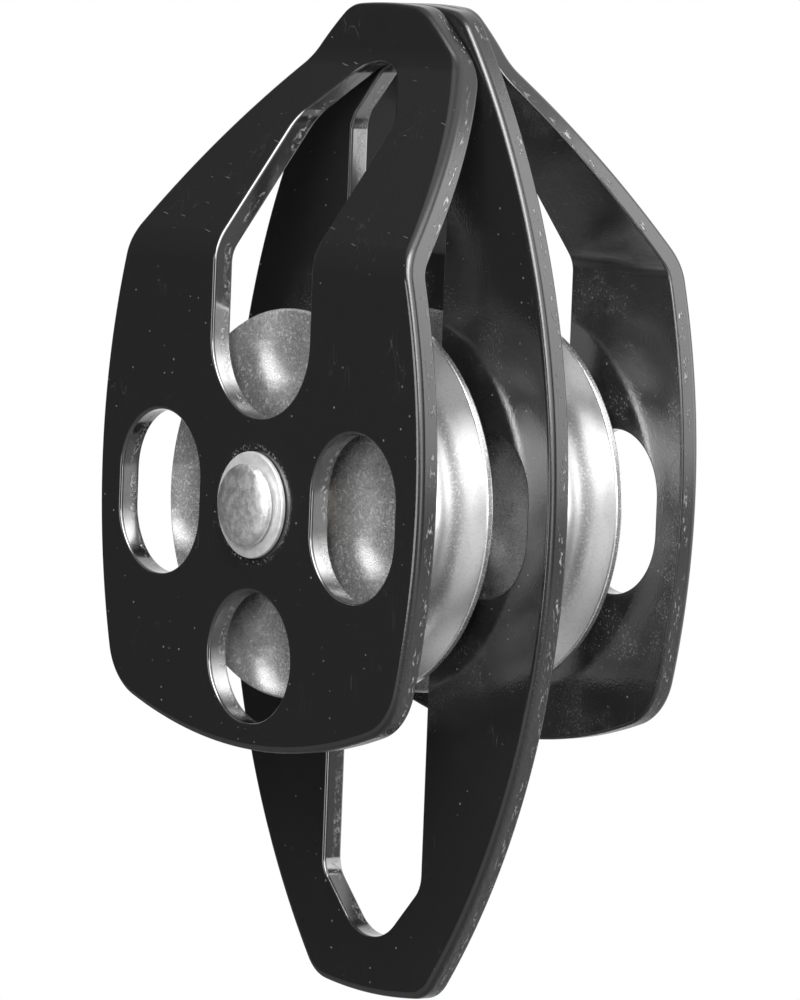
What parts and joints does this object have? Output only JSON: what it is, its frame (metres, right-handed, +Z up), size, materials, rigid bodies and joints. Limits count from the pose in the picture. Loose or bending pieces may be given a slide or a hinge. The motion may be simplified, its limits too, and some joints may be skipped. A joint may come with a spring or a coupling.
{
  "type": "double pulley",
  "caption": "Double pulley: grooved sheaves side by side on a riveted axle, a flat centre plate with an eye at each end, and bent side plates that swing open.",
  "frame": {"origin": "middle of the axle, which is also the centre of the overall box", "axes": "+Z up towards the eye that hangs the pulley, +Y along the axle from the front side plate to the rear one, +X across the plates"},
  "size_m": [0.0672, 0.0514, 0.1288],
  "materials": {
    "black_paint": "gloss",
    "rivet_steel": "satin",
    "washer_steel": "satin",
    "turned_alloy": "satin",
    "bearing_steel": "polished",
    "spacer_bronze": "satin"
  },
  "bodies": {
    "root": {"centre_plate": "black_paint", "axle": "rivet_steel", "front_washer": "washer_steel", "front_inner_spacer": "spacer_bronze", "front_outer_spacer": "spacer_bronze", "front_bearing_sleeve": "bearing_steel", "rear_washer": "washer_steel", "rear_inner_spacer": "spacer_bronze", "rear_outer_spacer": "spacer_bronze", "rear_bearing_sleeve": "bearing_steel"},
    "front_plate": {"front_side_plate": "black_paint"},
    "front_wheel": {"front_sheave": "turned_alloy", "front_bearing_shell": "bearing_steel"},
    "front_needle_set": {"front_bearing_cage": "bearing_steel", "front_bearing_needles": "bearing_steel"},
    "rear_plate": {"rear_side_plate": "black_paint"},
    "rear_wheel": {"rear_sheave": "turned_alloy", "rear_bearing_shell": "bearing_steel"},
    "rear_needle_set": {"rear_bearing_cage": "bearing_steel", "rear_bearing_needles": "bearing_steel"}
  },
  "joints": [
    {"name": "front_plate_swing", "type": "hinge", "parent": "root", "child": "front_plate", "pos_m": [0, -0.0214, 0], "axis": [0, 1, 0], "continuous": true},
    {"name": "front_sheave_spin", "type": "hinge", "parent": "root", "child": "front_wheel", "pos_m": [0, -0.0107, 0], "axis": [0, 1, 0], "continuous": true},
    {"name": "front_needle_orbit", "type": "hinge", "parent": "root", "child": "front_needle_set", "pos_m": [0, -0.0107, 0], "axis": [0, 1, 0], "continuous": true},
    {"name": "rear_plate_swing", "type": "hinge", "parent": "root", "child": "rear_plate", "pos_m": [0, 0.0214, 0], "axis": [0, 1, 0], "continuous": true},
    {"name": "rear_sheave_spin", "type": "hinge", "parent": "root", "child": "rear_wheel", "pos_m": [0, 0.0107, 0], "axis": [0, 1, 0], "continuous": true},
    {"name": "rear_needle_orbit", "type": "hinge", "parent": "root", "child": "rear_needle_set", "pos_m": [0, 0.0107, 0], "axis": [0, 1, 0], "continuous": true}
  ],
  "couplings": [
    {"joint": "front_needle_orbit", "follows": "front_sheave_spin", "ratio": 0.56522},
    {"joint": "rear_needle_orbit", "follows": "rear_sheave_spin", "ratio": 0.56522}
  ]
}
